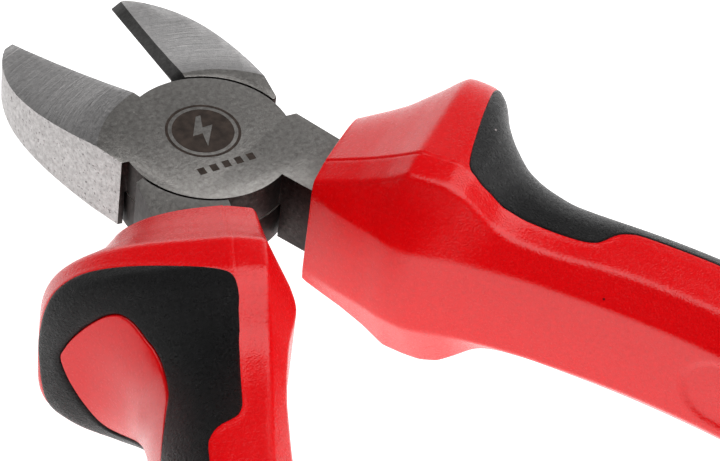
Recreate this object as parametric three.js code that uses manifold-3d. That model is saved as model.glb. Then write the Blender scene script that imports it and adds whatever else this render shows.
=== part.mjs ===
// Diagonal cutting pliers, 160 mm class, with two-component handles.
// Millimetres. The pivot axis is Z. Z = 0 is the back face of the joint, +Z comes out of its front face.
// +Y points from the pivot to the tips of the jaws, +X is the side of the front half's handle.
import * as THREE from 'three';
import { mergeVertices } from 'three/addons/utils/BufferGeometryUtils.js';
import Module from 'manifold-3d';

const wasm = await Module();
wasm.setup();

// ---------- driving dimensions ----------
const OPEN_HALF = THREE.MathUtils.degToRad(13);    // each half's turn from closed, as modelled
const STEEL_THICK = 10;                            // joint, jaws and tangs
const MID_Z = STEEL_THICK / 2;
const DISC_R = 10.3;                               // round lap joint
const ARC_GAP = 0.3;                               // round a disc, to the other half's arc wall
const LAP_GAP = 0.3;                               // between the two half-thickness discs
const RIVET_R = 3.6;
const RIVET_HEAD_R = 5;
const RIVET_HEAD_THICK = 1.2;
const RIVET_TOP = 8.6;                             // the front disc hides the rivet's end
const FIT_GAP = 0.3;                               // between two pieces that touch

const MOUTH_LOW_W = -3.3;                          // the socket's mouth in the handle, in W
const MOUTH_HIGH_W = 7.1;

// Jaw, as it lies when the pliers are closed: half of it, on the +X side.
const JAW_TIP_Y = 31;
const EDGE_CLEAR = 0.12;                           // each cutting edge stops just short of X = 0
const FRONT_BEVEL_INNER_X = 0.6;                   // where the bevel ends and the edge facet starts
const BACK_BEVEL_INNER_X = 1.3;
const BEVEL_CENTRE = new THREE.Vector2(1.4, -2.6); // the hollow-ground bevel turns about this point
const BEVEL_START_R = 13.9;
const BEVEL_SLOPE = 0.32;
const BEVEL_HOLLOW = 0.003;
const EDGE_DROP = 0.88;                            // the cutting edge lies this much under the bevel
const BACK_FACET = 4.4;                            // width of the relief behind the cutting edge
const BACK_FACET_DROP = 0.3;                       // from the edge facet to the relief, at the cutting edge

// Handle: S runs along its spine from the pivot, W is outward from the spine, H is up from mid thickness.
const SPLAY = THREE.MathUtils.degToRad(19);        // straight part of the spine, from -Y, when closed
const BEND_START = 48;
const BEND_R = 115;
const BEND_TURN = THREE.MathUtils.degToRad(23);
const SLEEVE_FRONT = 15;
const HANDLE_END = 132.3;
const SIDE_HALF_HEIGHT = 6;                        // of the flat inner side
const TOP_INNER_W = 4.5;                           // where the top face meets the inner chamfer
const FRONT_CHAMFER_LOSS = [0.9, 38, 56];          // the chamfer narrows by this, between these two S
const BACK_CHAMFER_LOSS = [1.2, 32.5, 38];
const SEAM_W = -0.75;                              // the crown's highest line
const PAD_DEPTH = 2;
const PAD_PROUD = 0.2;
const PAD_END = 121;
const TANG_END = 60;
const REACH = 26;                                  // half size of a cutting tool, past every handle face

// Handle sections: s, inner side, top, its fall to the inner chamfer, outer side, centre of the outer
// round, its squareness on the fuller face and on the leaner face, and the crown's outward slope.
const STATIONS = [
  [15, 4.7, 8.5, 0.4, 12, -0.5, 4.4, 2.6, 0.13], [20, 6.3, 10.9, 0.6, 15, 1.2, 4.5, 2.7, 0.13],
  [23, 7.1, 12.6, 0.6, 18, 2.6, 4.7, 2.9, 0.13], [25.8, 8, 14.4, 0.3, 20, 4, 5.4, 3.2, 0.13],
  [28.5, 8.4, 14.5, 0.1, 20.1, 4, 4.9, 3.5, 0.13], [30.5, 8.1, 14.5, 0.1, 18.4, 4, 4.1, 3.6, 0.12],
  [32.5, 7.6, 13.8, 0.1, 14.5, 3, 3.3, 3.1, 0.1], [34.5, 7.2, 12.2, 0.1, 12.1, 2, 2.8, 2.8, 0.07],
  [37, 6.9, 10.4, 0.1, 10.3, 1.2, 2.4, 2.4, 0.03], [40, 6.6, 9.6, 0.1, 9.2, 1, 2.2, 2.2, 0],
  [44, 6.4, 9.4, 0.1, 8.6, 1, 2.2, 2.2, 0], [50, 6.4, 9.6, 0.1, 8.2, 1, 2.2, 2.2, 0],
  [57, 6.4, 9.7, 0.1, 8.2, 1, 2.2, 2.2, 0], [64, 6.4, 9.8, 0.1, 8.2, 1, 2.2, 2.2, 0],
  [72, 6.4, 9.8, 0.1, 8.2, 1, 2.2, 2.2, 0], [80, 6.4, 9.8, 0.1, 8.2, 1, 2.2, 2.2, 0],
  [88, 6.4, 9.7, 0.1, 8.1, 1, 2.2, 2.2, 0], [96, 6.3, 9.6, 0.1, 8, 1, 2.2, 2.2, 0],
  [112, 6.1, 9.2, 0.1, 7.6, 1, 2.2, 2.2, 0], [124, 5.8, 8.8, 0.1, 7.2, 1, 2.2, 2.2, 0],
  [128.5, 5.3, 8.2, 0.1, 6.6, 0.8, 2.2, 2.2, 0], [131, 4.3, 7, 0.1, 5.4, 0.6, 2.2, 2.2, 0],
  [HANDLE_END, 2.6, 5, 0.1, 3.6, 0.4, 2.2, 2.2, 0],
];
const ROUND_STEPS = 7;                             // facets on a quarter of the outer round

const PAD_INNER_W = -1.2;

// The black grip in plan (s, w): its front edge across the guard and its inner edge down the handle.
const PAD_FRONT = [[28.8, REACH], [28.8, 17], [29.7, 8], [31.2, -0.6], [31.9, PAD_INNER_W]];
const PAD_INNER = [
  [47.6, PAD_INNER_W], [50.6, 2.8], [58, 3],
  [66, 3], [74, 3], [82, 3], [90, 3], [98, 3], [110, 3],
];

// The window in the grip, on the outer side: s and half height. Its tool starts outside the core.
const WINDOW_TOOL_W = 2;
const WINDOW = [
  [31.4, 2], [31.8, 6], [32.7, 9.6], [34.2, 9.4], [37, 8], [41, 7.1], [45, 6.4], [49, 4.6], [53, 3.6],
  [60, 3.2], [68, 3], [76, 3], [84, 3], [92, 3], [104, 2.8], [PAD_END + 4, 2.4],
];

// ---------- materials ----------
const steel = new THREE.MeshStandardMaterial({ color: 0x6e6e6c, roughness: 0.42, metalness: 1 });
const rivetSteel = new THREE.MeshStandardMaterial({ color: 0x8a8a88, roughness: 0.35, metalness: 1 });
const redPlastic = new THREE.MeshStandardMaterial({ color: 0xd0060c, roughness: 0.42, metalness: 0 });
const blackRubber = new THREE.MeshStandardMaterial({ color: 0x1c1c1d, roughness: 0.7, metalness: 0 });

// ---------- helpers ----------
function toSolid(geometry) {
  const bare = geometry.clone();
  bare.deleteAttribute('normal');
  bare.deleteAttribute('uv');
  const merged = mergeVertices(bare, 1e-5);
  const vertProperties = new Float32Array(merged.attributes.position.array);
  const triVerts = new Uint32Array(merged.index.array);
  return new wasm.Manifold(new wasm.Mesh({ numProp: 3, vertProperties, triVerts }));
}

function toGeometry(solid) {
  const mesh = solid.getMesh();
  const geometry = new THREE.BufferGeometry();
  const positions = new THREE.BufferAttribute(new Float32Array(mesh.vertProperties), 3);
  geometry.setAttribute('position', positions);
  geometry.setIndex(new THREE.BufferAttribute(new Uint32Array(mesh.triVerts), 1));
  return geometry;
}

// A closed outline in X and Y, as a solid between two heights.
function prism(outline, zLow, zHigh) {
  const depth = zHigh - zLow;
  const geometry = new THREE.ExtrudeGeometry(new THREE.Shape(outline), { depth, bevelEnabled: false });
  return toSolid(geometry.translate(0, 0, zLow));
}

function disc(radius, zLow, zHigh, segments = 72) {
  const geometry = new THREE.CylinderGeometry(radius, radius, zHigh - zLow, segments);
  return toSolid(geometry.rotateX(Math.PI / 2).translate(0, 0, (zLow + zHigh) / 2));
}

// A solid through equal rings of points, each closed at the ends by a fan. Rings run counter-clockwise
// when seen from the far end of the loft.
function loft(rings) {
  const count = rings[0].length;
  const positions = rings.flat().flatMap((p) => [p.x, p.y, p.z]);
  const index = [];
  for (let i = 0; i + 1 < rings.length; i += 1) {
    for (let j = 0; j < count; j += 1) {
      const a = i * count + j;
      const b = i * count + (j + 1) % count;
      index.push(a, b, b + count, a, b + count, a + count);
    }
  }
  for (const [ring, flip] of [[0, true], [rings.length - 1, false]]) {
    const centre = new THREE.Vector3();
    rings[ring].forEach((p) => centre.addScaledVector(p, 1 / count));
    const hub = positions.length / 3;
    positions.push(centre.x, centre.y, centre.z);
    for (let j = 0; j < count; j += 1) {
      const a = ring * count + j;
      const b = ring * count + (j + 1) % count;
      index.push(...(flip ? [hub, b, a] : [hub, a, b]));
    }
  }
  const geometry = new THREE.BufferGeometry();
  geometry.setAttribute('position', new THREE.Float32BufferAttribute(positions, 3));
  geometry.setIndex(index);
  return toSolid(geometry);
}

const mirrorX = (solid) => solid.mirror([1, 0, 0]);

// ---------- steel ----------
// The bevel's drop below the front face, at a distance past its start.
const bevelDrop = (past) => BEVEL_SLOPE * past - BEVEL_HOLLOW * past * past;

// The jaw on the +X side: full thickness, with its hollow-ground bevel and the facets of its edge.
function jaw(bevelInnerX) {
  const outline = new THREE.Path();
  outline.moveTo(EDGE_CLEAR, 0);
  outline.lineTo(9.2, 0);
  outline.lineTo(9.64, 3.6);
  outline.lineTo(10.45, 4.03);
  outline.lineTo(10.5, 8.2);
  outline.bezierCurveTo(10.2, 15, 9.4, 19.5, 8.1, 23);
  outline.bezierCurveTo(7, 26, 4.6, 29.6, 1.9, JAW_TIP_Y);
  outline.lineTo(EDGE_CLEAR, JAW_TIP_Y);
  const body = prism(outline.getPoints(8), 0, STEEL_THICK);

  const farR = 40;
  const profile = [];
  for (let i = 0; i <= 6; i += 1) {
    const past = (farR - BEVEL_START_R) * i / 6;
    profile.push(new THREE.Vector2(BEVEL_START_R + past, STEEL_THICK - bevelDrop(past)));
  }
  profile.push(new THREE.Vector2(farR, STEEL_THICK + 2), new THREE.Vector2(BEVEL_START_R, STEEL_THICK + 2));
  profile.push(profile[0].clone());
  const turned = new THREE.LatheGeometry(profile, 96).rotateX(Math.PI / 2);
  const bevel = toSolid(turned.translate(BEVEL_CENTRE.x, BEVEL_CENTRE.y, 0));

  return body.subtract(bevel).subtract(edgeFacet(bevelInnerX)).subtract(backFacet(bevelInnerX));
}

// Height of the bevel at its inner end, along the jaw.
function bevelInnerZ(bevelInnerX, y) {
  const distance = Math.hypot(bevelInnerX - BEVEL_CENTRE.x, y - BEVEL_CENTRE.y);
  return STEEL_THICK - bevelDrop(Math.max(0, distance - BEVEL_START_R));
}

// What the front facet takes away between the bevel and the cutting edge.
function edgeFacet(bevelInnerX) {
  const steps = 6;
  const fall = EDGE_DROP * (bevelInnerX + 1) / (bevelInnerX - EDGE_CLEAR);
  const rings = [];
  for (let i = 0; i <= steps; i += 1) {
    const y = 8 + (JAW_TIP_Y + 2 - 8) * i / steps;
    const top = bevelInnerZ(bevelInnerX, y);
    const corners = [[bevelInnerX, top], [-1, top - fall], [-1, 12], [bevelInnerX, 12]];
    rings.push(corners.map(([x, z]) => new THREE.Vector3(x, y, z)));
  }
  return loft(rings);
}

// What the relief takes away behind the cutting edge.
function backFacet(bevelInnerX) {
  const rings = [];
  for (const y of [DISC_R + 1.5, JAW_TIP_Y + 2]) {
    const edge = bevelInnerZ(bevelInnerX, y) - EDGE_DROP - BACK_FACET_DROP;
    const corners = [[-1, edge + 1], [EDGE_CLEAR, edge], [BACK_FACET, 0], [BACK_FACET, -1], [-1, -1]];
    rings.push(corners.map(([x, z]) => new THREE.Vector3(x, y, z)));
  }
  return loft(rings);
}

// The tang on the +X side, in plan: bare as far as the handle, then tapering inside it.
function tangOutline(grow) {
  const inHandle = [[15.5, 6.5], [24, 5.2], [TANG_END, 3], [TANG_END, -2], [24, -2.9], [15.5, -2.95]];
  return inHandle.map(([s, w]) => planPoint(s + (s === TANG_END ? grow : 0), w + Math.sign(w) * grow));
}

function tang() {
  const bare = [[3, -5], [9.2, -2], [9.54, -3.98], [10.7, -4.5], [11, -11]];
  const neck = [[2, -14], [1.65, -10.48], [1.4, -7]];
  const points = (outline) => outline.map(([x, y]) => new THREE.Vector2(x, y));
  return prism([...points(bare), ...tangOutline(0), ...points(neck)], 0, STEEL_THICK);
}

// One half in plan, with its tang at +X and its jaw at -X. Its own disc is the front or the back layer.
function steelHalf(front) {
  const bevelInnerX = front ? FRONT_BEVEL_INNER_X : BACK_BEVEL_INNER_X;
  const whole = mirrorX(jaw(bevelInnerX)).add(tang()).add(disc(DISC_R, 0, STEEL_THICK));
  const lap = LAP_GAP / 2;
  const room = DISC_R + ARC_GAP;
  const clearance = front ? disc(room, -1, MID_Z + lap) : disc(room, MID_Z - lap, STEEL_THICK + 1);
  return whole.subtract(clearance);
}

function rivet(grow) {
  const head = disc(RIVET_HEAD_R + grow, grow ? -1 : 0, RIVET_HEAD_THICK + grow, 48);
  return disc(RIVET_R + grow, 0, RIVET_TOP + grow, 48).add(head);
}

// ---------- handle ----------
// From handle coordinates to the frame of the closed pliers.
function handlePoint(s, w, h) {
  const turn = Math.min(Math.max((s - BEND_START) / BEND_R, 0), BEND_TURN);
  const angle = SPLAY - turn;
  const along = new THREE.Vector2(Math.sin(angle), -Math.cos(angle));
  const out = new THREE.Vector2(Math.cos(angle), Math.sin(angle));
  const start = new THREE.Vector2(Math.sin(SPLAY), -Math.cos(SPLAY)).multiplyScalar(Math.min(s, BEND_START));
  const outAtStart = new THREE.Vector2(Math.cos(SPLAY), Math.sin(SPLAY));
  const rest = Math.max(s - BEND_START - BEND_R * BEND_TURN, 0);
  const point = start.addScaledVector(outAtStart, -BEND_R).addScaledVector(out, BEND_R + w);
  point.addScaledVector(along, rest);
  return new THREE.Vector3(point.x, point.y, MID_Z + h);
}

function planPoint(s, w) {
  const p = handlePoint(s, w, 0);
  return new THREE.Vector2(p.x, p.y);
}

// One face's half of a handle section, from the inner side to the outer round.
function halfSection(row, inset, squareness, chamferLoss) {
  const [s, innerSide, topFace, fall, outerSide, centre, , , slope] = row;
  const inner = innerSide - inset;
  const top = topFace - inset;
  const [loss, start, stop] = chamferLoss;
  const topInner = TOP_INNER_W - loss * THREE.MathUtils.smoothstep(s, start, stop);
  const points = [[-inner, Math.min(SIDE_HALF_HEIGHT, top * 0.7)]];
  points.push([-Math.min(topInner, inner - 0.3), top - fall], [SEAM_W, top]);
  for (let i = 0; i < ROUND_STEPS; i += 1) {
    const angle = Math.PI / 2 * i / ROUND_STEPS;
    const w = centre + (outerSide - inset - centre) * Math.sin(angle) ** (2 / squareness);
    points.push([w, (top - slope * (w - SEAM_W)) * Math.cos(angle) ** (2 / squareness)]);
  }
  return points;
}

// One ring of the handle's outer surface, moved inward by an inset. The two handles are alike when one
// is turned over, so the fuller face is the front of one and the back of the other.
function handleRing(row, inset, fullFront) {
  const [s, , , , outerSide, , full, lean] = row;
  const front = halfSection(row, inset, fullFront ? full : lean, FRONT_CHAMFER_LOSS);
  const back = halfSection(row, inset, fullFront ? lean : full, BACK_CHAMFER_LOSS);
  const ring = [...back.map(([w, h]) => [w, -h]), [outerSide - inset, 0], ...front.reverse()];
  return ring.map(([w, h]) => handlePoint(s, w, h));
}

function handleLoft(inset, from, to, fullFront) {
  const rows = STATIONS.filter(([s]) => s >= from && s <= to);
  return loft(rows.map((row) => handleRing(row, inset, fullFront)));
}

// The plan of the grip, grown by a gap where the core has to clear it.
function gripRegion(grow) {
  const front = PAD_FRONT.map(([s, w]) => [s - grow, w]);
  const corner = [front.at(-1)[0], PAD_INNER_W - grow];
  const inner = PAD_INNER.map(([s, w]) => [s, w - grow]);
  const end = [[PAD_END - 2 + grow, 3 - grow], [PAD_END + grow, 5], [PAD_END + grow, REACH]];
  const far = [110, 98, 90, 82, 74, 66, 58, 50].map((s) => [s, REACH]);
  const outline = [...front, corner, ...inner, ...end, ...far].map(([s, w]) => planPoint(s, w));
  return prism(outline, MID_Z - REACH, MID_Z + REACH);
}

function windowTool(shrink) {
  const rings = WINDOW.map(([s, half], i) => {
    const along = i === 0 ? s + shrink : s;
    const top = half - shrink;
    const far = REACH + 2;
    const corners = [[WINDOW_TOOL_W, -top], [far, -top], [far, top], [WINDOW_TOOL_W, top]];
    return corners.map(([w, h]) => handlePoint(along, w, h));
  });
  return loft(rings);
}

function grip(fullFront) {
  const outside = handleLoft(-PAD_PROUD, 25, 128, fullFront);
  const shell = outside.subtract(handleLoft(PAD_DEPTH, 20, 129, fullFront));
  return shell.intersect(gripRegion(0)).subtract(windowTool(0));
}

function socket() {
  const mouth = [MOUTH_LOW_W, MOUTH_HIGH_W].map((w) => planPoint(SLEEVE_FRONT - 2, w));
  return prism([...mouth, ...tangOutline(FIT_GAP)], -FIT_GAP, STEEL_THICK + FIT_GAP);
}

function core(fullFront) {
  const recess = gripRegion(FIT_GAP).subtract(windowTool(FIT_GAP));
  const bed = recess.subtract(handleLoft(PAD_DEPTH + FIT_GAP, 20, 129, fullFront));
  return handleLoft(0, 0, HANDLE_END, fullFront).subtract(bed).subtract(socket());
}

// ---------- assembly ----------
function part(name, solid, material) {
  const mesh = new THREE.Mesh(toGeometry(solid), material);
  mesh.name = name;
  return mesh;
}

const frontHalf = new THREE.Group();
frontHalf.rotation.z = OPEN_HALF;
const rivetHole = rivet(FIT_GAP);
frontHalf.add(part('front_half', steelHalf(true).subtract(rivetHole), steel));
frontHalf.add(part('pivot_rivet', rivet(0), rivetSteel));
frontHalf.add(part('right_handle_core', core(true), redPlastic));
frontHalf.add(part('right_handle_grip', grip(true), blackRubber));

const backHalf = new THREE.Group();
backHalf.rotation.z = -OPEN_HALF;
backHalf.add(part('back_half', mirrorX(steelHalf(false)).subtract(rivetHole), steel));
backHalf.add(part('left_handle_core', mirrorX(core(false)), redPlastic));
backHalf.add(part('left_handle_grip', mirrorX(grip(false)), blackRubber));

const pliers = new THREE.Group();
pliers.add(frontHalf, backHalf);

export default pliers;
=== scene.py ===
"""Diagonal cutting pliers, 160 mm class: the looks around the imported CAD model.

Lengths are in millimetres up to the point where a mesh is made. A handle is described as in the CAD
model: s runs along its spine from the pivot, w is outward from the spine, h is up from mid thickness.
"""
import math

import bmesh
import bpy
import numpy as np
from mathutils import Matrix, Vector


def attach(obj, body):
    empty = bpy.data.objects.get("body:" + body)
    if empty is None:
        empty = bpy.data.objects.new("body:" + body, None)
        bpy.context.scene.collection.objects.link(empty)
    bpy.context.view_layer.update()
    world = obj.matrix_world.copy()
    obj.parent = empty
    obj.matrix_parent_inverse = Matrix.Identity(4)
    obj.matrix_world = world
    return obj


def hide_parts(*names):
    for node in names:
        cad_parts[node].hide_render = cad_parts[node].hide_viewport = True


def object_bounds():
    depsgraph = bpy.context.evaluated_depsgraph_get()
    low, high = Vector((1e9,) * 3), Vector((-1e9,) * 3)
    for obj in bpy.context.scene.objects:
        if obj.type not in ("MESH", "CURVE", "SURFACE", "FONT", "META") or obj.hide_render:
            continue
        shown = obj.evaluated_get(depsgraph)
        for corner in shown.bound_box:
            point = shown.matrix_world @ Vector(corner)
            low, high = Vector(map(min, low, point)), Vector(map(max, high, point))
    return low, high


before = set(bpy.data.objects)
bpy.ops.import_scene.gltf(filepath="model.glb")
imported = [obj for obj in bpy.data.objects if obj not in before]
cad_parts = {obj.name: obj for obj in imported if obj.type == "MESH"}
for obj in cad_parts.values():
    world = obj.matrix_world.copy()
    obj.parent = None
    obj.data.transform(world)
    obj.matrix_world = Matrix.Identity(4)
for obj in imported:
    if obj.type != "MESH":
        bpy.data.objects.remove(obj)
cad_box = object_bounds()

MM = 0.001
STEEL_THICK = 10.0
MID_Z = STEEL_THICK / 2
OPEN_HALF = math.radians(13)

# Handle spine.
SPLAY = math.radians(19)
BEND_START = 48.0
BEND_R = 115.0
BEND_TURN = math.radians(23)
SLEEVE_FRONT = 15.0
HANDLE_END = 132.3

# Handle section.
SIDE_HALF_HEIGHT = 6.0
SEAM_W = -0.75             # the crown's highest line
SEAM_GROOVE = 0.1          # depth of the moulding seam along it
SEAM_WIDTH = 0.3
TOP_INNER_W = 4.5          # where the top face meets the inner chamfer
FRONT_CHAMFER_LOSS = (0.9, 38, 56)      # the chamfer narrows by this, between these two s
BACK_CHAMFER_LOSS = (1.2, 32.5, 38)
SIDE_FILLET = 0.55
TOP_FILLET = 0.7
FRONT_FILLET = 0.25

# s, inner side, top, its fall to the inner chamfer, outer side, centre of the outer round, its squareness
# on the fuller face and on the leaner face, and the crown's outward slope. The two handles are alike when
# one is turned over, so the fuller face is the front of the right one and the back of the left one.
STATIONS = np.array([
    (15, 4.7, 8.5, 0.4, 12, -0.5, 4.4, 2.6, 0.13), (20, 6.3, 10.9, 0.6, 15, 1.2, 4.5, 2.7, 0.13),
    (23, 7.1, 12.6, 0.6, 18, 2.6, 4.7, 2.9, 0.13), (25.8, 8, 14.4, 0.3, 20, 4, 5.4, 3.2, 0.13),
    (28.5, 8.4, 14.5, 0.1, 20.1, 4, 4.9, 3.5, 0.13), (30.5, 8.1, 14.5, 0.1, 18.4, 4, 4.1, 3.6, 0.12),
    (32.5, 7.6, 13.8, 0.1, 14.5, 3, 3.4, 3.1, 0.1), (34.5, 7.2, 12.3, 0.1, 12.1, 2, 3.1, 2.8, 0.07),
    (37, 6.9, 10.5, 0.1, 10.3, 1.2, 2.8, 2.4, 0.03), (40, 6.6, 9.65, 0.1, 9.2, 1, 2.5, 2.2, 0),
    (44, 6.4, 9.4, 0.1, 8.6, 1, 2.2, 2.2, 0), (50, 6.4, 9.6, 0.1, 8.2, 1, 2.2, 2.2, 0),
    (64, 6.4, 9.8, 0.1, 8.2, 1, 2.2, 2.2, 0), (80, 6.4, 9.8, 0.1, 8.2, 1, 2.2, 2.2, 0),
    (96, 6.3, 9.6, 0.1, 8, 1, 2.2, 2.2, 0), (112, 6.1, 9.2, 0.1, 7.6, 1, 2.2, 2.2, 0),
    (124, 5.8, 8.8, 0.1, 7.2, 1, 2.2, 2.2, 0), (HANDLE_END, 5.6, 8.6, 0.1, 7.0, 1, 2.2, 2.2, 0),
])
FLAT_UNTIL = 32.5          # the guard's flat facets end here; its throat is one smooth curve
END_ROUND_START = 126.6    # the butt of the handle is rounded from here
END_ROUND_POWER = 2.5
ROUND_SAMPLES = 90         # worked out on a quarter of the outer round
ROUND_POINTS = 52          # kept from them, evenly spaced
STRIP_STEP = 0.42          # between points along the grip's strip

# The grip's strip, from its rear end on the front face, over the guard, to the middle of the outer side.
# Each row pairs a point of the strip's outer edge with one of its window edge: the edge's s, how its
# second number is given ("w" outward or "h" up), that number, and the window's s and half height.
GRIP_ROWS = [
    (121.0, "w", 3.0, 121.0, 2.6), (104.0, "w", 3.0, 104.0, 2.8), (60.0, "w", 3.0, 60.0, 3.2),
    (51.6, "w", 2.9, 52.5, 3.7), (49.7, "w", 1.8, 50.6, 4.2), (48.2, "w", -0.7, 49.0, 4.7),
    (46.6, "w", -1.2, 47.0, 5.5), (42.0, "w", -1.2, 43.0, 6.9), (37.0, "w", -1.2, 39.4, 7.2),
    (33.4, "w", -1.2, 37.2, 7.75), (32.0, "w", -0.5, 36.0, 8.2), (31.3, "w", 2.6, 35.2, 8.7),
    (30.8, "w", 6.0, 34.5, 9.1), (30.2, "w", 10.0, 33.9, 9.35), (29.5, "w", 15.5, 33.2, 9.4),
    (29.6, "h", 9.6, 32.7, 8.7), (29.8, "h", 6.5, 32.4, 6.1), (29.6, "h", 3.2, 32.15, 3.1),
    (29.2, "h", 0.0, 32.0, 0.0),
]
GUARD_EDGE_S = 33.0        # the rows with a smaller s lie over the guard
SHOULDER_H = 9.6           # the height on the outer side where those rows leave the face

# How far forward of its row the strip's edge lies over the guard, and the window's.
FULL_FORWARD = (0.4, 0.0)  # on the fuller face
LEAN_FORWARD = (1.0, 0.15)  # on the leaner face
MID_FORWARD = (0.7, 1.2)   # at the middle of the outer side, where both faces meet

PAD_PROUD = 0.2
PAD_EDGE_R = 0.45
PAD_UNDER = 0.9            # the grip's underside, below the core's surface
PAD_SPANS = 30             # points across it, between its rims
WINDOW_EDGE_R = 0.3
WINDOW_UNDER = 1.4
WINDOW_SPANS = 22
BED_DEPTH = 1.1            # the core's recess under it
BED_MARGIN = 0.5           # how far inside the grip's edge the recess starts
LIP_HEIGHT = 0.1           # the core's raised lip along the grip
LIP_WIDTH = 0.4
LIP_FADE = (118, 120.5)    # the s over which the lip runs out
GROOVE = 0.09              # between the grip and the window's red

PANEL_START = 62.6         # sunk panel on the handle's inner side
PANEL_END = 100.0
PANEL_HALF = 4.8
PANEL_DEPTH = 0.35
PANEL_SLOPE = 0.5          # width of its sloping edge

# Tang and its socket in the handle, in plan: s, and its two sides in w.
SOCKET = [(15.0, -3.0, 6.6), (24.0, -3.05, 5.35), (60.3, -2.15, 3.15)]
SOCKET_HALF = 5.15

# Jaw bevel: both jaws are ground hollow, round a point near the pivot (closed frame, +X jaw).
BEVEL_CENTRE = (1.4, -2.6)
BEVEL_INNER_X = 0.5
JAW_START_Y = 8
EDGE_START_Y = 10
EDGE_FACET_X = 2.2         # the edge facet lies nearer the middle than this
SHOULDER_Y = 4.3           # the jaw's outer side starts here

STEEL_ROUND = 0.09         # of the sharp edges of the steel
RIVET_ROUND = 0.06


# ---------- small helpers ----------
def monotone_curve(x, y, at):
    """A smooth curve through points that never overshoots them (Fritsch and Carlson)."""
    step = np.diff(x)
    slope = np.diff(y) / step
    tangent = np.zeros(len(x))
    tangent[0] = slope[0]
    tangent[-1] = slope[-1]
    for i in range(1, len(x) - 1):
        if slope[i - 1] * slope[i] > 0:
            before = 2 * step[i] + step[i - 1]
            after = step[i] + 2 * step[i - 1]
            tangent[i] = (before + after) / (before / slope[i - 1] + after / slope[i])
    i = np.clip(np.searchsorted(x, at) - 1, 0, len(x) - 2)
    t = (at - x[i]) / step[i]
    t2 = t * t
    t3 = t2 * t
    return ((2 * t3 - 3 * t2 + 1) * y[i] + (t3 - 2 * t2 + t) * step[i] * tangent[i]
            + (3 * t2 - 2 * t3) * y[i + 1] + (t3 - t2) * step[i] * tangent[i + 1])


def smoothed(values, width):
    """A row of values blurred by a bell of that width, in samples, with its ends held."""
    reach = int(math.ceil(3 * width))
    offsets = np.arange(-reach, reach + 1)
    bell = np.exp(-0.5 * (offsets / width) ** 2)
    padded = np.pad(values, reach, mode="reflect", reflect_type="odd")
    return np.convolve(padded, bell / bell.sum(), mode="valid")


def smoothstep(low, high, x):
    t = np.clip((x - low) / (high - low), 0, 1)
    return t * t * (3 - 2 * t)


def new_object(name, vertices, faces):
    mesh = bpy.data.meshes.new(name)
    mesh.from_pydata((np.asarray(vertices) * MM).tolist(), [], faces)
    mesh.validate()
    mesh.shade_smooth()
    piece = bpy.data.objects.new(name, mesh)
    bpy.context.scene.collection.objects.link(piece)
    return piece


def outward(piece):
    """Turns a closed mesh's faces outward."""
    bm = bmesh.new()
    bm.from_mesh(piece.data)
    bmesh.ops.recalc_face_normals(bm, faces=bm.faces)
    bm.to_mesh(piece.data)
    bm.free()
    piece.data.shade_smooth()


def grid_faces(rows, columns, offset=0, closed=False):
    """Quads over a grid of points, row by row. A closed grid joins its last column to its first."""
    faces = []
    for i in range(rows - 1):
        for j in range(columns if closed else columns - 1):
            a = offset + i * columns + j
            b = offset + i * columns + (j + 1) % columns
            faces.append((a, b, b + columns, a + columns))
    return faces


# ---------- handle surface ----------
FINE_STEP = 0.1
FINE_S = np.arange(SLEEVE_FRONT, HANDLE_END + FINE_STEP, FINE_STEP)
RIDGE_BLUR = 2.2           # in samples


def fine_profile():
    """Every station value at each FINE_S, with the guard's ridges slightly rounded."""
    s = STATIONS[:, 0]
    throat = STATIONS[s >= FLAT_UNTIL]
    columns = []
    for k in range(1, STATIONS.shape[1]):
        if k in (2, 3):
            flat = np.interp(FINE_S, s, STATIONS[:, k])
            curved = monotone_curve(throat[:, 0], throat[:, k], np.maximum(FINE_S, FLAT_UNTIL))
            values = np.where(FINE_S < FLAT_UNTIL, flat, curved)
        else:
            values = monotone_curve(s, STATIONS[:, k], FINE_S)
        columns.append(smoothed(values, RIDGE_BLUR))
    return np.array(columns)


PROFILE = fine_profile()


def profile_at(s):
    return [np.interp(s, FINE_S, column) for column in PROFILE]


def top_inner(s, back):
    """Where the top face meets the inner chamfer. The back's chamfer is narrower along the handle."""
    loss, start, stop = BACK_CHAMFER_LOSS if back else FRONT_CHAMFER_LOSS
    return TOP_INNER_W - loss * smoothstep(start, stop, s)


def end_scale(s):
    t = np.clip((s - END_ROUND_START) / (HANDLE_END - END_ROUND_START), 0, 1)
    return np.maximum(1 - t ** END_ROUND_POWER, 0) ** (1 / END_ROUND_POWER)


def lerp(a, b, t):
    return a[:, None, :] + (b - a)[:, None, :] * t[None, :, None]


def fillet(corner, before, after, radius, t):
    """A quadratic round of a corner, from its side towards before to its side towards after."""
    def toward(point):
        away = point - corner
        length = np.linalg.norm(away, axis=1, keepdims=True)
        return corner + away / length * np.minimum(radius, 0.45 * length)
    start = toward(before)[:, None, :]
    end = toward(after)[:, None, :]
    t = t[None, :, None]
    return (1 - t) ** 2 * start + 2 * t * (1 - t) * corner[:, None, :] + t * t * end


def resampled(line, count):
    """Each row's polyline with count points, evenly along it."""
    length = np.linalg.norm(np.diff(line, axis=1), axis=2)
    along = np.concatenate([np.zeros((len(line), 1)), np.cumsum(length, axis=1)], axis=1)
    result = np.empty((len(line), count, 2))
    for i in range(len(line)):
        at = np.linspace(0, along[i, -1], count)
        result[i, :, 0] = np.interp(at, along[i], line[i, :, 0])
        result[i, :, 1] = np.interp(at, along[i], line[i, :, 1])
    return result


def pairs(w, h):
    return np.stack([w + 0 * h, h + 0 * w], axis=1)


SEAM_STEPS = (0, 0.2, 0.4, 0.58, 0.7, 0.78, 0.84, 0.89, 0.93, 0.965, 1)   # close together at the seam


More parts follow.
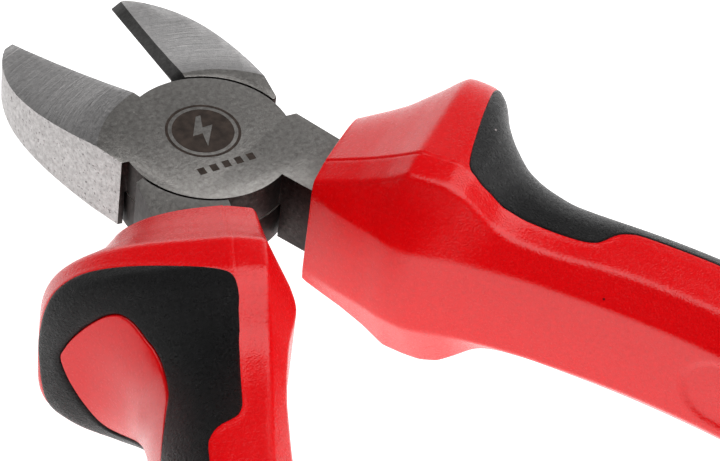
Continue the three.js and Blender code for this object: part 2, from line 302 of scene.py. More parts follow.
def half_section(s, back, full):
    """The section's upper half at each s, from inner middle to outer middle, as (w, h) points."""
    inner, top, fall, outer, centre, fuller, leaner, slope = profile_at(s)
    scale = end_scale(s)
    wt = np.minimum(top_inner(s, back), inner - 0.3)
    middle = pairs(-inner, 0 * s)
    side_top = pairs(-inner, np.minimum(SIDE_HALF_HEIGHT, 0.7 * top))
    shoulder = pairs(-wt, top - fall)
    seam = pairs(SEAM_W + 0 * s, top)
    t = np.linspace(0, 1, 7)
    low = fillet(side_top, middle, shoulder, SIDE_FILLET, t)
    high = fillet(shoulder, side_top, seam, TOP_FILLET, t)
    side = lerp(middle, low[:, 0], np.linspace(0, 1, 17))[:, :-1]
    chamfer = lerp(low[:, -1], high[:, 0], np.linspace(0, 1, 17))[:, 1:-1]

    to_seam = lerp(high[:, -1], seam, np.array(SEAM_STEPS))[:, 1:]
    depth = SEAM_GROOVE * (1 - 0.6 * smoothstep(25.8, 27, s)) * (1 - smoothstep(30, 31.5, s))
    away = SEAM_W - to_seam[:, :, 0]
    to_seam[:, :, 1] -= depth[:, None] * np.exp(-(away / SEAM_WIDTH) ** 2)

    turn = np.linspace(0, math.pi / 2, ROUND_SAMPLES)[None, :]
    power = (2 / (fuller if full else leaner))[:, None]
    round_w = centre[:, None] + (outer - centre)[:, None] * np.sin(turn) ** power
    crown = top[:, None] - slope[:, None] * (round_w - SEAM_W)
    round_h = crown * np.maximum(np.cos(turn), 0) ** power
    past_seam = pairs(SEAM_W + 0.06 + 0 * s, top)
    rest = np.concatenate([past_seam[:, None, :], np.stack([round_w, round_h], axis=2)], axis=1)
    outer_round = resampled(rest, ROUND_POINTS)
    section = np.concatenate([side, low, chamfer, high, to_seam, outer_round], axis=1)
    return section * scale[:, None, None]


def plan_point(s, w, h):
    """From handle coordinates to the row frame, right handle, as the pliers are packed."""
    s, w, h = np.broadcast_arrays(s, w, h)
    turn = np.clip((s - BEND_START) / BEND_R, 0, BEND_TURN)
    first = SPLAY + OPEN_HALF
    angle = first - turn
    run = np.minimum(s, BEND_START)
    rest = np.maximum(s - BEND_START - BEND_R * BEND_TURN, 0)
    x = (run * math.sin(first) - BEND_R * math.cos(first) + (BEND_R + w) * np.cos(angle)
         + rest * np.sin(angle))
    y = (-run * math.cos(first) - BEND_R * math.sin(first) + (BEND_R + w) * np.sin(angle)
         - rest * np.cos(angle))
    return np.stack([x, y, MID_Z + h], axis=-1)


# The surface as seen from the outer side: how far round it from its outer middle, for the grip's strip.
# A negative distance is on the back.
ROUND_STEP = 0.1
ROUND_REACH = 46
ROUND = np.arange(0, ROUND_REACH, ROUND_STEP)


def along_rows(line):
    """The distance along each row's polyline, at each of its points."""
    length = np.linalg.norm(np.diff(line, axis=1), axis=2)
    return np.concatenate([np.zeros((len(line), 1)), np.cumsum(length, axis=1)], axis=1)


def round_tables(back, full):
    """w and h at each FINE_S and each distance round the section from its outer middle."""
    line = half_section(FINE_S, back, full)[:, ::-1]
    along = along_rows(line)
    w = np.array([np.interp(ROUND, along[i], line[i, :, 0]) for i in range(len(line))])
    h = np.array([np.interp(ROUND, along[i], line[i, :, 1]) for i in range(len(line))])
    return w, h


def look_up(table, s, distance):
    """A table's value between its points, at any s and distance round."""
    i = np.clip((s - FINE_S[0]) / FINE_STEP, 0, len(FINE_S) - 1.001)
    j = np.clip(np.abs(distance) / ROUND_STEP, 0, len(ROUND) - 1.001)
    i0 = i.astype(int)
    j0 = j.astype(int)
    u = i - i0
    v = j - j0
    return ((1 - u) * (1 - v) * table[i0, j0] + u * (1 - v) * table[i0 + 1, j0]
            + (1 - u) * v * table[i0, j0 + 1] + u * v * table[i0 + 1, j0 + 1])


def face_rows(full):
    """The grip's rows on one face, with their guard end moved forward."""
    rows = []
    for s, kind, value, window_s, half in GRIP_ROWS:
        forward = FULL_FORWARD if full else LEAN_FORWARD
        if kind == "h":
            share = value / SHOULDER_H
            forward = [m + (f - m) * share for f, m in zip(forward, MID_FORWARD)]
        if s < GUARD_EDGE_S:
            s -= forward[0]
            window_s -= forward[1]
        rows.append((s, kind, value, window_s, half))
    return rows


class Moulding:
    """One handle's surface and the two edges of its grip's strip."""

    def __init__(self, full_front):
        self.full_front = full_front
        self.front = round_tables(False, full_front)
        self.back = round_tables(True, not full_front)
        self.edge, self.window = self.strip_edges()

    def round_distance(self, s, kind, value, tables):
        """How far round the section a point lies that is given by its w or its h."""
        table_w, table_h = tables
        i = int(round((s - FINE_S[0]) / FINE_STEP))
        if kind == "h":
            outer = table_w[i] > 0
            return float(np.interp(value, table_h[i][outer], ROUND[outer]))
        return float(np.interp(-value, -table_w[i], ROUND))

    def face_edges(self, tables, full):
        """Both edges of the strip on one face, from its rear end to the middle of the outer side."""
        edge = []
        window = []
        rows = face_rows(full)
        for row, after in zip(rows, rows[1:]):
            count = max(2, int(abs(after[0] - row[0]) / STRIP_STEP))
            ends = [self.round_distance(*r[:3], tables) for r in (row, after)]
            for t in np.arange(count) / count:
                s0 = row[0] + (after[0] - row[0]) * t
                s1 = row[3] + (after[3] - row[3]) * t
                distance = ends[0] + (ends[1] - ends[0]) * t
                if row[1] == after[1]:
                    value = row[2] + (after[2] - row[2]) * t
                    distance = self.round_distance(s0, row[1], value, tables)
                half = row[4] + (after[4] - row[4]) * t
                edge.append((s0, distance))
                window.append((s1, self.round_distance(s1, "h", half, tables)))
        return edge, window

    def strip_edges(self):
        """The strip's outer edge and window edge, paired point by point, each as (s, distance round)."""
        upper = self.face_edges(self.front, self.full_front)
        lower = self.face_edges(self.back, not self.full_front)
        lines = []
        for k, end in ((0, 0), (1, 3)):
            middle = [(GRIP_ROWS[-1][end] - MID_FORWARD[k], 0)]
            lines.append(np.array(upper[k] + middle + [(s, -d) for s, d in lower[k][::-1]]))
        edge, window = lines
        length = 0.6 * np.linalg.norm(np.diff(edge, axis=0), axis=1)
        length += 0.4 * np.linalg.norm(np.diff(window, axis=0), axis=1)
        along = np.concatenate([[0], np.cumsum(length)])
        at = np.linspace(0, along[-1], int(along[-1] / STRIP_STEP))
        result = []
        for curve in (edge, window):
            line = np.stack([np.interp(at, along, curve[:, k]) for k in (0, 1)], axis=1)
            result.append(np.stack([smoothed(line[:, k], 1.5) for k in (0, 1)], axis=1))
        return result

    def place(self, s, distance):
        front = distance >= 0
        w = np.where(front, look_up(self.front[0], s, distance), look_up(self.back[0], s, distance))
        h = np.where(front, look_up(self.front[1], s, distance), -look_up(self.back[1], s, distance))
        return plan_point(s, w, h)

    def surface(self, s, distance, lift):
        """Points of the surface in the row frame, moved out along its normal by lift."""
        step = 0.15
        along = self.place(s + step, distance) - self.place(s - step, distance)
        across = self.place(s, distance + step) - self.place(s, distance - step)
        normal = np.cross(across, along)
        normal /= np.linalg.norm(normal, axis=-1, keepdims=True)
        return self.place(s, distance) + normal * lift[..., None]


# ---------- grip strip ----------
def across_strip(near, far, spans):
    """Fractions across each pair, packed close together at both ends."""
    rim = np.array([0, 0.04, 0.1, 0.18, 0.3, 0.46])
    length = np.linalg.norm(far - near, axis=1)
    inner = np.linspace(0, 1, spans)[1:-1]
    rows = []
    for total in length:
        margin = min(rim[-1], 0.3 * total) / rim[-1]
        low = rim * margin / total
        rows.append(np.concatenate([low, low[-1] + (1 - 2 * low[-1]) * inner, 1 - low[::-1]]))
    return np.array(rows), length


def rounded_edge(distance, radius):
    """How far a rounded rim lies below the surface, at a distance from its edge."""
    inside = np.clip(radius - distance, 0, radius)
    return radius - np.sqrt(radius * radius - inside * inside)


def shell(name, form, near, far, proud, radius, under, spans, mirrored):
    """A closed pad over the strip between two curves: rounded at its rim, flush below."""
    across, length = across_strip(near, far, spans)
    points = near[:, None, :] + (far - near)[:, None, :] * across[:, :, None]
    distance = np.minimum(across, 1 - across) * length[:, None]
    along = np.minimum(np.abs(points[:, :, 0] - GRIP_ROWS[0][0]), 2.0)
    drop = np.maximum(rounded_edge(distance, radius), rounded_edge(along, radius))
    top = form.surface(points[:, :, 0], points[:, :, 1], proud - drop)
    bottom = form.surface(points[:, :, 0], points[:, :, 1], 0 * drop - under)
    rows, columns = across.shape
    vertices = np.concatenate([top.reshape(-1, 3), bottom.reshape(-1, 3)])
    base = rows * columns
    faces = grid_faces(rows, columns)
    faces += [(d, c, b, a) for a, b, c, d in grid_faces(rows, columns, base)]
    rim = [i * columns for i in range(rows)]
    rim += [(rows - 1) * columns + j for j in range(1, columns)]
    rim += [i * columns + columns - 1 for i in range(rows - 2, -1, -1)]
    rim += [j for j in range(columns - 2, 0, -1)]
    for a, b in zip(rim, rim[1:] + rim[:1]):
        faces.append((a, b, b + base, a + base))
    if mirrored:
        vertices = vertices * np.array([-1, 1, 1])
    piece = new_object(name, vertices, faces)
    outward(piece)
    return piece


# ---------- red core ----------
def edge_distance(s, d, outline):
    """Signed distance to a closed outline, positive inside."""
    best = np.full(s.shape, np.inf)
    crossings = np.zeros(s.shape, int)
    for (s0, d0), (s1, d1) in zip(outline, np.roll(outline, -1, axis=0)):
        vs = s1 - s0
        vd = d1 - d0
        t = np.clip(((s - s0) * vs + (d - d0) * vd) / max(vs * vs + vd * vd, 1e-12), 0, 1)
        best = np.minimum(best, (s - s0 - t * vs) ** 2 + (d - d0 - t * vd) ** 2)
        spans = (d0 > d) != (d1 > d)
        if vd != 0:
            crossings += spans & (s < s0 + vs * (d - d0) / vd)
    return np.sqrt(best) * np.where(crossings % 2 == 1, 1, -1)


def core_rows():
    """Every s with a ring of the core: close over the guard, and closer still round the butt."""
    near = np.arange(SLEEVE_FRONT, 62, 0.4)
    far = np.arange(62, END_ROUND_START, 0.5)
    t = np.linspace(0, 1, 15)[:-1]
    butt = END_ROUND_START + (HANDLE_END - END_ROUND_START) * np.sin(t * math.pi / 2)
    return np.concatenate([near, far, butt])


def core_sections(s, form):
    """The whole ring at each s, as (w, h), with its distance round from the outer middle."""
    rings = []
    rounds = []
    for back in (False, True):
        half = half_section(s, back, form.full_front != back)[:, ::-1]
        sign = -1 if back else 1
        rings.append(half * np.array([1, sign]))
        rounds.append(along_rows(half) * sign)
    ring = np.concatenate([rings[0], rings[1][:, -2:0:-1]], axis=1)
    distance = np.concatenate([rounds[0], rounds[1][:, -2:0:-1]], axis=1)
    return ring, distance


def ring_normals(s, ring):
    """The rings' points in the row frame, and the surface's normal at each."""
    points = plan_point(s[:, None], ring[:, :, 0], ring[:, :, 1])
    along = np.gradient(points, axis=0)
    across = np.roll(points, -1, axis=1) - np.roll(points, 1, axis=1)
    normal = np.cross(across, along)
    length = np.linalg.norm(normal, axis=-1, keepdims=True)
    return points, normal / np.maximum(length, 1e-9)


def panel_depth(s, h):
    """How deep the sunk panel on the inner side is."""
    half = PANEL_HALF
    start = PANEL_START + half
    stop = PANEL_END - half
    ds = s - np.clip(s, start, stop)
    inside = half - np.hypot(ds, h)
    return PANEL_DEPTH * smoothstep(0, PANEL_SLOPE, inside)


def core(name, form, mirrored):
    """The red core: its outside with the grip's bed, the lip and the panel, and the tang's socket."""
    s = core_rows()
    ring, distance = core_sections(s, form)
    points, normal = ring_normals(s, ring)
    inside = edge_distance(s[:, None] + 0 * distance, distance, form.edge)
    bed = BED_DEPTH * smoothstep(BED_MARGIN, BED_MARGIN + 0.3, inside)
    lip = LIP_HEIGHT * np.exp(-((inside - 0.1) / LIP_WIDTH) ** 2)
    lip *= 1 - smoothstep(*LIP_FADE, s)[:, None]
    on_inner = ring[:, :, 0] < 0
    panel = np.where(on_inner, panel_depth(s[:, None] + 0 * distance, ring[:, :, 1]), 0)
    flat_side = np.abs(ring[:, :, 1]) < SIDE_HALF_HEIGHT - 0.5
    panel = np.where(flat_side, panel, 0)
    lift = np.where(inside > BED_MARGIN, 0, lip) - bed - panel
    points = points + normal * lift[:, :, None]

    front_ring, front_normal = points[0], normal[0]
    forward = plan_point(SLEEVE_FRONT - 1.0, 0, 0) - plan_point(SLEEVE_FRONT, 0, 0)
    rounded = []
    for turn in (75, 45, 15):
        a = math.radians(turn)
        inward = front_normal * FRONT_FILLET * (1 - math.cos(a))
        rounded.append(front_ring - inward + forward * FRONT_FILLET * math.sin(a))
    mouth = socket_rings(ring[0])
    rows = mouth[::-1] + rounded + list(points)
    rows = np.array(rows)
    count = rows.shape[1]
    vertices = rows.reshape(-1, 3)
    faces = grid_faces(len(rows), count, closed=True)
    inner_hub = len(vertices)
    vertices = np.concatenate([vertices, rows[0].mean(axis=0)[None], rows[-1].mean(axis=0)[None]])
    last = (len(rows) - 1) * count
    for j in range(count):
        k = (j + 1) % count
        faces.append((inner_hub, k, j))
        faces.append((inner_hub + 1, last + j, last + k))
    if mirrored:
        vertices = vertices * np.array([-1, 1, 1])
    piece = new_object(name, vertices, faces)
    outward(piece)
    return piece


def socket_rings(front):
    """Rings of the tang's socket, from the front face to its bottom, with the front ring's point count."""
    rings = []
    face_s = SLEEVE_FRONT - FRONT_FILLET
    for s, low, high in [(face_s, SOCKET[0][1], SOCKET[0][2])] + SOCKET:
        centre = (low + high) / 2
        w = front[:, 0] - (front[:, 0].max() + front[:, 0].min()) / 2
        h = front[:, 1]
        reach = np.maximum(np.abs(w) / ((high - low) / 2), np.abs(h) / SOCKET_HALF)
        rings.append(plan_point(s, centre + w / reach, h / reach))
    return rings


# ---------- steel ----------
def refined(node, name, round_edges):
    """A copy of a CAD piece with whole faces, finely rounded edges and smooth curves."""
    bm = bmesh.new()
    bm.from_mesh(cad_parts[node].data)
    bmesh.ops.remove_doubles(bm, verts=bm.verts, dist=1e-6)
    bmesh.ops.dissolve_limit(bm, angle_limit=math.radians(0.15), verts=bm.verts, edges=bm.edges)
    sharp = [e for e in bm.edges if e.is_manifold and e.calc_face_angle() > math.radians(25)]
    made = bmesh.ops.bevel(bm, geom=sharp, offset=round_edges * MM, segments=2, profile=0.5,
                           affect="EDGES", clamp_overlap=True)
    # The faces of the rounded edges are flagged for a lighter steel: a painted highlight along the edges.
    painted_highlight = set(made["faces"])
    layer = bm.faces.layers.int.new("painted_highlight")
    for face in bm.faces:
        face[layer] = int(face in painted_highlight)
    mesh = bpy.data.meshes.new(name)
    bm.to_mesh(mesh)
    bm.free()
    for leftover in ("custom_normal", "sharp_face", "sharp_edge"):
        if leftover in mesh.attributes:
            mesh.attributes.remove(mesh.attributes[leftover])
    mesh.shade_smooth()
    mesh.set_sharp_from_angle(angle=math.radians(30))
    piece = bpy.data.objects.new(name, mesh)
    bpy.context.scene.collection.objects.link(piece)
    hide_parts(node)
    return piece


def paint_steel(piece, turn, mirrored, finishes):
    """Gives each face of a half its steel by where it lies and which way it looks, with painted shade on
    the edge facets and walls and a painted highlight on the rounded edges.
    """
    mesh = piece.data
    mesh.materials.clear()
    for finish in finishes:
        mesh.materials.append(finish)
    # The edge facets and the walls get near-black steel: painted shade on faces that look away from the
    # light.
    flat, bevel, side, edge, shaded_wall, painted_highlight = range(6)
    back = Matrix.Rotation(-turn, 3, "Z")
    flag = mesh.attributes["painted_highlight"].data
    for polygon in mesh.polygons:
        place = back @ polygon.center / MM
        normal = back @ polygon.normal
        if mirrored:
            place.x = -place.x
            normal.x = -normal.x
        kind = shaded_wall
        # Rounded-edge faces take the lighter steel, a painted highlight.
        if flag[polygon.index].value:
            kind = painted_highlight
        elif abs(normal.z) > 0.995:
            kind = flat
        elif place.y > JAW_START_Y and normal.z > 0.9 and place.x > BEVEL_INNER_X:
            kind = bevel
        elif (place.y > EDGE_START_Y and place.x < EDGE_FACET_X
              and normal.x < -0.2 and normal.z > 0.1):
            kind = edge
        elif place.y > SHOULDER_Y and normal.x > 0.3:
            kind = side
        polygon.material_index = kind


# ---------- materials ----------
class Graph:
    """One procedural material, with short calls for its nodes."""

    def __init__(self, name, color, roughness, metallic=0.0):
        self.material = bpy.data.materials.new(name)
        self.material.use_nodes = True
        self.tree = self.material.node_tree
        self.shader = self.tree.nodes["Principled BSDF"]
        self.shader.inputs["Base Color"].default_value = (*color, 1)
        self.shader.inputs["Roughness"].default_value = roughness
        self.shader.inputs["Metallic"].default_value = metallic
        self.place = self.node("ShaderNodeTexCoord").outputs["Object"]

    def node(self, kind, **settings):
        made = self.tree.nodes.new(kind)
        for key, value in settings.items():
            setattr(made, key, value)
        return made

    def link(self, source, target):
        self.tree.links.new(source, target)

    def feed(self, socket, value):
        if isinstance(value, bpy.types.NodeSocket):
            self.link(value, socket)
        else:
            socket.default_value = value

    def noise(self, scale, detail=2.0, vector=None, roughness=0.5):
        made = self.node("ShaderNodeTexNoise")
        self.link(vector or self.place, made.inputs["Vector"])
        made.inputs["Scale"].default_value = scale
        made.inputs["Detail"].default_value = detail
        made.inputs["Roughness"].default_value = roughness
        return made.outputs["Fac"]

    def cells(self, scale, output="Distance"):
        made = self.node("ShaderNodeTexVoronoi")
        self.link(self.place, made.inputs["Vector"])
        made.inputs["Scale"].default_value = scale
        return made.outputs[output]

    def math(self, operation, a, b=0.0, clamp=False):
        made = self.node("ShaderNodeMath", operation=operation, use_clamp=clamp)
        self.feed(made.inputs[0], a)
        self.feed(made.inputs[1], b)
        return made.outputs[0]

    def span(self, value, low, high, out_low=0.0, out_high=1.0):
        made = self.node("ShaderNodeMapRange")
        self.feed(made.inputs["Value"], value)
        made.inputs["From Min"].default_value = low
        made.inputs["From Max"].default_value = high
        made.inputs["To Min"].default_value = out_low
        made.inputs["To Max"].default_value = out_high
        return made.outputs["Result"]

    def blend(self, factor, a, b):
        made = self.node("ShaderNodeMix", data_type="RGBA")
        self.feed(made.inputs["Factor"], factor)
        self.feed(made.inputs["A"], (*a, 1) if isinstance(a, tuple) else a)
        self.feed(made.inputs["B"], (*b, 1) if isinstance(b, tuple) else b)
        return made.outputs["Result"]

    def bump(self, height, strength, distance_mm, normal=None):
        made = self.node("ShaderNodeBump")
        made.inputs["Strength"].default_value = strength
        made.inputs["Distance"].default_value = distance_mm * MM
        self.link(height, made.inputs["Height"])
        if normal:
            self.link(normal, made.inputs["Normal"])
        return made.outputs["Normal"]

    def specks(self, per_mm, share, size):
        """Sparse dust: a mask that is 1 inside a few small cells."""
        cell = self.cells(per_mm * 1000)
        pick = self.node("ShaderNodeSeparateColor")
        self.link(self.cells(per_mm * 1000, "Color"), pick.inputs[0])
        near = self.span(cell, size, size * 0.6)
        chosen = self.math("LESS_THAN", pick.outputs[0], share)
        return self.math("MULTIPLY", near, chosen, clamp=True)

    def set(self, **sockets):
        for name, value in sockets.items():
            self.feed(self.shader.inputs[name.replace("_", " ")], value)


RED = (0.84, 0.0006, 0.003)
RED_DEEP = (0.76, 0.0004, 0.0025)


def red_plastic(name, grain):
    g = Graph(name, RED, 0.3)
    mottle = g.span(g.noise(1900, 3), 0.3, 0.7)
    color = g.blend(mottle, RED_DEEP, RED)
    dust = g.specks(0.5, 0.035, 0.09)
    color = g.blend(dust, color, (0.1, 0.002, 0.004))
    pale = g.specks(0.8, 0.02, 0.09)
    color = g.blend(pale, color, (0.8, 0.3, 0.28))
    fine = g.noise(4200, 2)
    rough = g.span(g.noise(2600, 3), 0.3, 0.7, 0.2, 0.3)
    g.set(Base_Color=color, Roughness=rough, Normal=g.bump(fine, grain, 0.14))
    g.shader.inputs["IOR"].default_value = 1.5
    return g.material


def black_rubber(name):
    g = Graph(name, (0.006, 0.006, 0.0063), 0.42)
    patches = g.span(g.noise(2200, 3), 0.3, 0.7)
    color = g.blend(patches, (0.002, 0.002, 0.0022), (0.006, 0.006, 0.0064))
    grit = g.span(g.cells(4200), 0.12, 0.02)
    color = g.blend(g.math("MULTIPLY", grit, 0.4), color, (0.06, 0.06, 0.062))
    lint = g.specks(0.5, 0.02, 0.09)
    color = g.blend(lint, color, (0.4, 0.33, 0.33))
    chips = g.specks(0.24, 0.03, 0.08)
    color = g.blend(chips, color, (0.5, 0.02, 0.03))
    sand = g.noise(3000, 3, roughness=0.75)
    rough = g.span(g.noise(1300, 2), 0.3, 0.7, 0.24, 0.36)
    g.set(Base_Color=color, Roughness=rough, Normal=g.bump(sand, 1.0, 0.42))
    g.shader.inputs["Specular IOR Level"].default_value = 0.22
    return g.material


def turned_place(g, centre):
    """Object coordinates as (distance from a point in plan, way round it, height)."""
    parts = g.node("ShaderNodeSeparateXYZ")
    g.link(g.place, parts.inputs[0])
    x = g.math("SUBTRACT", parts.outputs[0], centre[0] * MM)
    y = g.math("SUBTRACT", parts.outputs[1], centre[1] * MM)
    radius = g.math("SQRT", g.math("ADD", g.math("MULTIPLY", x, x), g.math("MULTIPLY", y, y)))
    angle = g.math("ARCTAN2", y, x)
    made = g.node("ShaderNodeCombineXYZ")
    g.link(g.math("MULTIPLY", radius, 9.0), made.inputs[0])
    g.link(g.math("MULTIPLY", angle, 0.009), made.inputs[1])
    g.link(parts.outputs[2], made.inputs[2])
    return made.outputs[0]


def steel(name, dark, light, roughness, grain=0.25, streak=None, spots=0.0):
    """Tool steel: a mottled tint and fine tooth, with optional grinding marks and dark spots."""
    g = Graph(name, light, roughness, 1.0)
    tint = g.span(g.noise(1700, 4, roughness=0.7), 0.32, 0.68)
    color = g.blend(tint, dark, light)
    if spots:
        pits = g.span(g.noise(2600, 2), 0.62, 0.7)
        color = g.blend(g.math("MULTIPLY", pits, spots), color, (0.09, 0.075, 0.075))
    dust = g.specks(0.4, 0.05, 0.07)
    color = g.blend(dust, color, (0.03, 0.028, 0.028))
    chips = g.specks(0.3, 0.03, 0.06)
    color = g.blend(chips, color, (0.42, 0.03, 0.04))
    tooth = g.noise(5200, 2)
    normal = g.bump(tooth, grain, 0.03)
    if streak:
        marks = g.noise(420, 3, vector=turned_place(g, streak), roughness=0.6)
        color = g.blend(g.span(marks, 0.35, 0.65, 0.0, 0.6), color, dark)
        normal = g.bump(marks, 0.8, 0.06, normal)
    rough = g.span(g.noise(1500, 2), 0.3, 0.7, roughness - 0.05, roughness + 0.05)
    g.set(Base_Color=color, Roughness=rough, Normal=normal)
    return g.material


def half_finishes(label, turn, mirrored):
    x = -BEVEL_CENTRE[0] if mirrored else BEVEL_CENTRE[0]
    centre = Matrix.Rotation(turn, 2) @ Vector((x, BEVEL_CENTRE[1]))
    return [
        steel(label + "_flat", (0.29, 0.275, 0.262), (0.47, 0.455, 0.435), 0.46, 0.9),
        steel(label + "_bevel", (0.5, 0.49, 0.49), (0.74, 0.72, 0.715), 0.42, 0.8, streak=centre),
        steel(label + "_side", (0.33, 0.315, 0.31), (0.54, 0.52, 0.515), 0.5, 0.9, spots=0.8),
        # Near-black steels for the edge facets and the walls: painted shade.
        steel(label + "_edge", (0.05, 0.048, 0.047), (0.09, 0.088, 0.086), 0.4, 0.6),
        steel(label + "_wall", (0.02, 0.017, 0.016), (0.055, 0.046, 0.043), 0.5, 0.7, spots=0.5),
        # Lighter steel for the rounded edges: a painted highlight.
        steel(label + "_worn", (0.5, 0.49, 0.48), (0.62, 0.61, 0.6), 0.34),
    ]


def etched():
    g = Graph("etched_mark", (0.035, 0.025, 0.02), 0.5, 0.35)
    shade = g.span(g.noise(900, 3), 0.3, 0.7)
    color = g.blend(shade, (0.026, 0.018, 0.014), (0.07, 0.05, 0.04))
    g.set(Base_Color=color, Normal=g.bump(g.noise(4200, 2), 0.4, 0.02))
    return g.material


# ---------- etched mark ----------
MARK_RISE = 1.2
MARK_TURN = math.radians(-8)
MARK_HALF_DEPTH = 0.004


def circle(radius, count=64):
    step = 2 * math.pi / count
    return [(radius * math.cos(i * step), radius * math.sin(i * step)) for i in range(count)]


def mark(name, outlines, turn, low, high):
    """Flat shapes with holes, as one thin solid between two heights."""
    curve = bpy.data.curves.new(name, "CURVE")
    curve.dimensions = "2D"
    curve.fill_mode = "BOTH"
    curve.extrude = (high - low) / 2 * MM
    for outline in outlines:
        spline = curve.splines.new("POLY")
        spline.points.add(len(outline) - 1)
        for point, (x, y) in zip(spline.points, outline):
            point.co = (x * MM, y * MM, 0, 1)
        spline.use_cyclic_u = True
    holder = bpy.data.objects.new(name + "_curve", curve)
    holder.matrix_world = Matrix.Rotation(turn, 4, "Z")
    bpy.context.scene.collection.objects.link(holder)
    bpy.context.view_layer.update()
    ready = holder.evaluated_get(bpy.context.evaluated_depsgraph_get())
    mesh = bpy.data.meshes.new_from_object(ready)
    mesh.transform(Matrix.Translation((0, 0, (high + low) / 2 * MM)) @ holder.matrix_world)
    bpy.data.objects.remove(holder)
    piece = bpy.data.objects.new(name, mesh)
    bpy.context.scene.collection.objects.link(piece)
    bm = bmesh.new()
    bm.from_mesh(mesh)
    bmesh.ops.remove_doubles(bm, verts=bm.verts, dist=1e-7)
    bm.to_mesh(mesh)
    bm.free()
    return piece


def joint_mark():
    """A generic etched badge: a ring, a disc with a spark in it, and a row of ticks."""
    spark = [
        (0.3, 2.5), (-1.5, -0.35), (-0.25, -0.35), (-0.6, -2.5),
        (1.5, 0.55), (0.2, 0.55), (0.9, 2.5),
    ]
    outlines = [circle(4.5), circle(4.15), circle(3.7), spark[::-1]]
    half = 0.45
    low, high = -6.6, -5.5
    for i in range(5):
        x = -3.2 + 1.6 * i
        outlines.append([(x - half, low), (x + half, low), (x + half, high), (x - half, high)])
    lifted = [[(x, y + MARK_RISE) for x, y in outline] for outline in outlines]
    bottom = STEEL_THICK - MARK_HALF_DEPTH
    return mark("joint_mark", lifted, MARK_TURN, bottom, STEEL_THICK + MARK_HALF_DEPTH)


# ---------- build ----------
def build_half(side, mirrored, body):
    """One handle's looks: its red core, the red in the grip's window, and the black grip."""
    name = side + "_handle"
    red = red_plastic(side + "_red", 0.42)
    smooth_red = red_plastic(side + "_red_window", 0.12)
    black = black_rubber(side + "_black")

    form = Moulding(not mirrored)
    core_piece = core(name + "_core_red", form, mirrored)
    core_piece.data.materials.append(red)
    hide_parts(name + "_core")
    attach(core_piece, body)

    half = len(form.window) // 2
    upper = form.window[:half + 1]
    lower = form.window[::-1][:half + 1]
    gap = np.array([0, GROOVE])
    window = shell(name + "_core_window", form, lower + gap, upper - gap, 0.0, WINDOW_EDGE_R,
                   WINDOW_UNDER, WINDOW_SPANS, mirrored)
    window.data.materials.append(smooth_red)
    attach(window, body)

    grip = shell(name + "_grip_black", form, form.window, form.edge, PAD_PROUD, PAD_EDGE_R,
                 PAD_UNDER, PAD_SPANS, mirrored)
    grip.data.materials.append(black)
    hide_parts(name + "_grip")
    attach(grip, body)


build_half("right", False, "front_half")
build_half("left", True, "back_half")

front = refined("front_half", "front_half_steel", STEEL_ROUND)
paint_steel(front, OPEN_HALF, True, half_finishes("front", OPEN_HALF, True))
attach(front, "front_half")

back = refined("back_half", "back_half_steel", STEEL_ROUND)
paint_steel(back, -OPEN_HALF, False, half_finishes("back", -OPEN_HALF, False))
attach(back, "back_half")

rivet = refined("pivot_rivet", "pivot_rivet_steel", RIVET_ROUND)
rivet.data.materials.clear()
rivet.data.materials.append(steel("rivet", (0.46, 0.45, 0.44), (0.58, 0.57, 0.56), 0.34))
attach(rivet, "front_half")

badge = joint_mark()
badge.data.materials.append(etched())
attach(badge, "front_half")


# ---------- stage, light and camera ----------
FLOOR_HALF = 3.0           # metres
FLOOR_GLOW = 1.2
SOFTBOX_CENTRE = (0.29, -0.31, 0.7)
SOFTBOX_SIZE = (1.4, 0.95)
SOFTBOX_RADIANCE = 2.3


def stage():
    """A white floor that glows a little, so that it stays white under the tool's shadow."""
    mesh = bpy.data.meshes.new("floor")
    z = cad_box[0][2]
    around = [(-1, -1), (1, -1), (1, 1), (-1, 1)]
    corners = [(FLOOR_HALF * x, FLOOR_HALF * y, z) for x, y in around]
    mesh.from_pydata(corners, [], [(0, 1, 2, 3)])
    floor = bpy.data.objects.new("floor", mesh)
    bpy.context.scene.collection.objects.link(floor)
    g = Graph("floor_white", (0.35, 0.35, 0.35), 0.9)
    g.shader.inputs["Emission Color"].default_value = (1, 1, 1, 1)
    g.shader.inputs["Emission Strength"].default_value = FLOOR_GLOW
    mesh.materials.append(g.material)


def overhead_softbox(name, centre, size, radiance):
    """A level softbox over the tool."""
    data = bpy.data.lights.new(name, "AREA")
    data.shape = "RECTANGLE"
    data.size = size[0]
    data.size_y = size[1]
    data.energy = radiance * math.pi * size[0] * size[1]
    lamp = bpy.data.objects.new(name, data)
    lamp.location = centre
    lamp.visible_camera = False
    bpy.context.scene.collection.objects.link(lamp)


FAR_SIDE = (0.5, 0.86, 0.0)
SWEEP_GLOW = 1.0
ROOM_GLOW = 0.05


def dot_with(tree, vector, axis):
    """A node that gives how far a vector points along an axis."""
    made = tree.nodes.new("ShaderNodeVectorMath")
    made.operation = "DOT_PRODUCT"
    made.inputs[1].default_value = axis
    tree.links.new(vector, made.inputs[0])
    return made.outputs["Value"]


def ramp(tree, value, low, high, out_low, out_high):
    """A node that eases a value from one range into another."""
    made = tree.nodes.new("ShaderNodeMapRange")
    made.interpolation_type = "SMOOTHSTEP"
    tree.links.new(value, made.inputs["Value"])
    for name, number in (("From Min", low), ("From Max", high), ("To Min", out_low), ("To Max", out_high)):
        made.inputs[name].default_value = number
    return made.outputs["Result"]


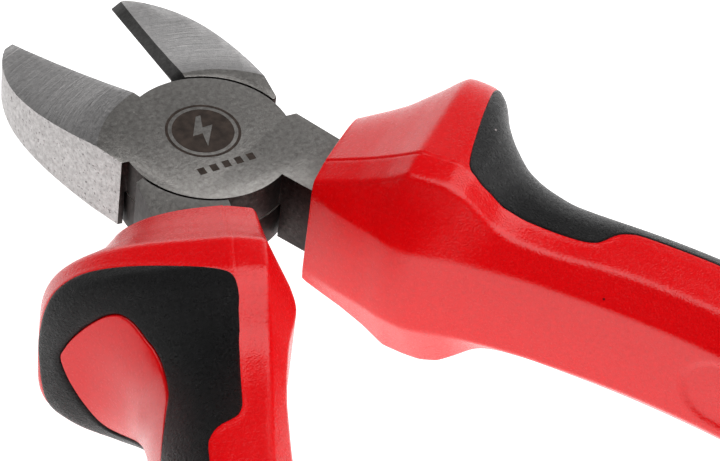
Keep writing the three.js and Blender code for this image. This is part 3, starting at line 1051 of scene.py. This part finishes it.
def studio():
    """A white sweep on the far side and a dark room on the near side, with white behind the object."""
    world = bpy.data.worlds.new("studio")
    bpy.context.scene.world = world
    world.use_nodes = True
    tree = world.node_tree
    tree.nodes.clear()
    place = tree.nodes.new("ShaderNodeTexCoord").outputs["Generated"]
    far = ramp(tree, dot_with(tree, place, FAR_SIDE), 0.45, 0.85, 0.0, SWEEP_GLOW)
    low = ramp(tree, dot_with(tree, place, (0, 0, 1)), 0.5, 0.1, 0.0, 1.0)
    glow = tree.nodes.new("ShaderNodeBackground")
    lit = tree.nodes.new("ShaderNodeMath")
    lit.operation = "MULTIPLY_ADD"
    tree.links.new(far, lit.inputs[0])
    tree.links.new(low, lit.inputs[1])
    lit.inputs[2].default_value = ROOM_GLOW
    tree.links.new(lit.outputs[0], glow.inputs["Strength"])
    white = tree.nodes.new("ShaderNodeBackground")
    white.inputs["Color"].default_value = (1, 1, 1, 1)
    path = tree.nodes.new("ShaderNodeLightPath")
    mix = tree.nodes.new("ShaderNodeMixShader")
    tree.links.new(path.outputs["Is Camera Ray"], mix.inputs["Fac"])
    tree.links.new(glow.outputs[0], mix.inputs[1])
    tree.links.new(white.outputs[0], mix.inputs[2])
    tree.links.new(mix.outputs[0], tree.nodes.new("ShaderNodeOutputWorld").inputs["Surface"])


def camera():
    """A long lens from above and to the left of the joint, rolled a little."""
    azimuth, elevation, roll = (math.radians(a) for a in (-42.142, 44.289, 7.729))
    target = Vector((12.982, -14.177, 0)) * MM
    distance = 425.879 * MM
    back = Vector((math.sin(azimuth) * math.cos(elevation), -math.cos(azimuth) * math.cos(elevation),
                   math.sin(elevation)))
    level = Vector((math.cos(azimuth), math.sin(azimuth), 0))
    rise = back.cross(level)
    right = level * math.cos(roll) + rise * math.sin(roll)
    up = rise * math.cos(roll) - level * math.sin(roll)
    data = bpy.data.cameras.new("camera")
    data.sensor_width = 36.0
    data.lens = 179.4
    data.clip_start = 0.01
    data.clip_end = 20.0
    view = bpy.data.objects.new("camera", data)
    view.matrix_world = Matrix.Translation(target + back * distance) @ Matrix(
        (right, up, back)).transposed().to_4x4()
    bpy.context.scene.collection.objects.link(view)
    bpy.context.scene.camera = view


stage()
studio()
overhead_softbox("softbox", SOFTBOX_CENTRE, SOFTBOX_SIZE, SOFTBOX_RADIANCE)
camera()
bpy.context.scene.view_settings.view_transform = "Standard"
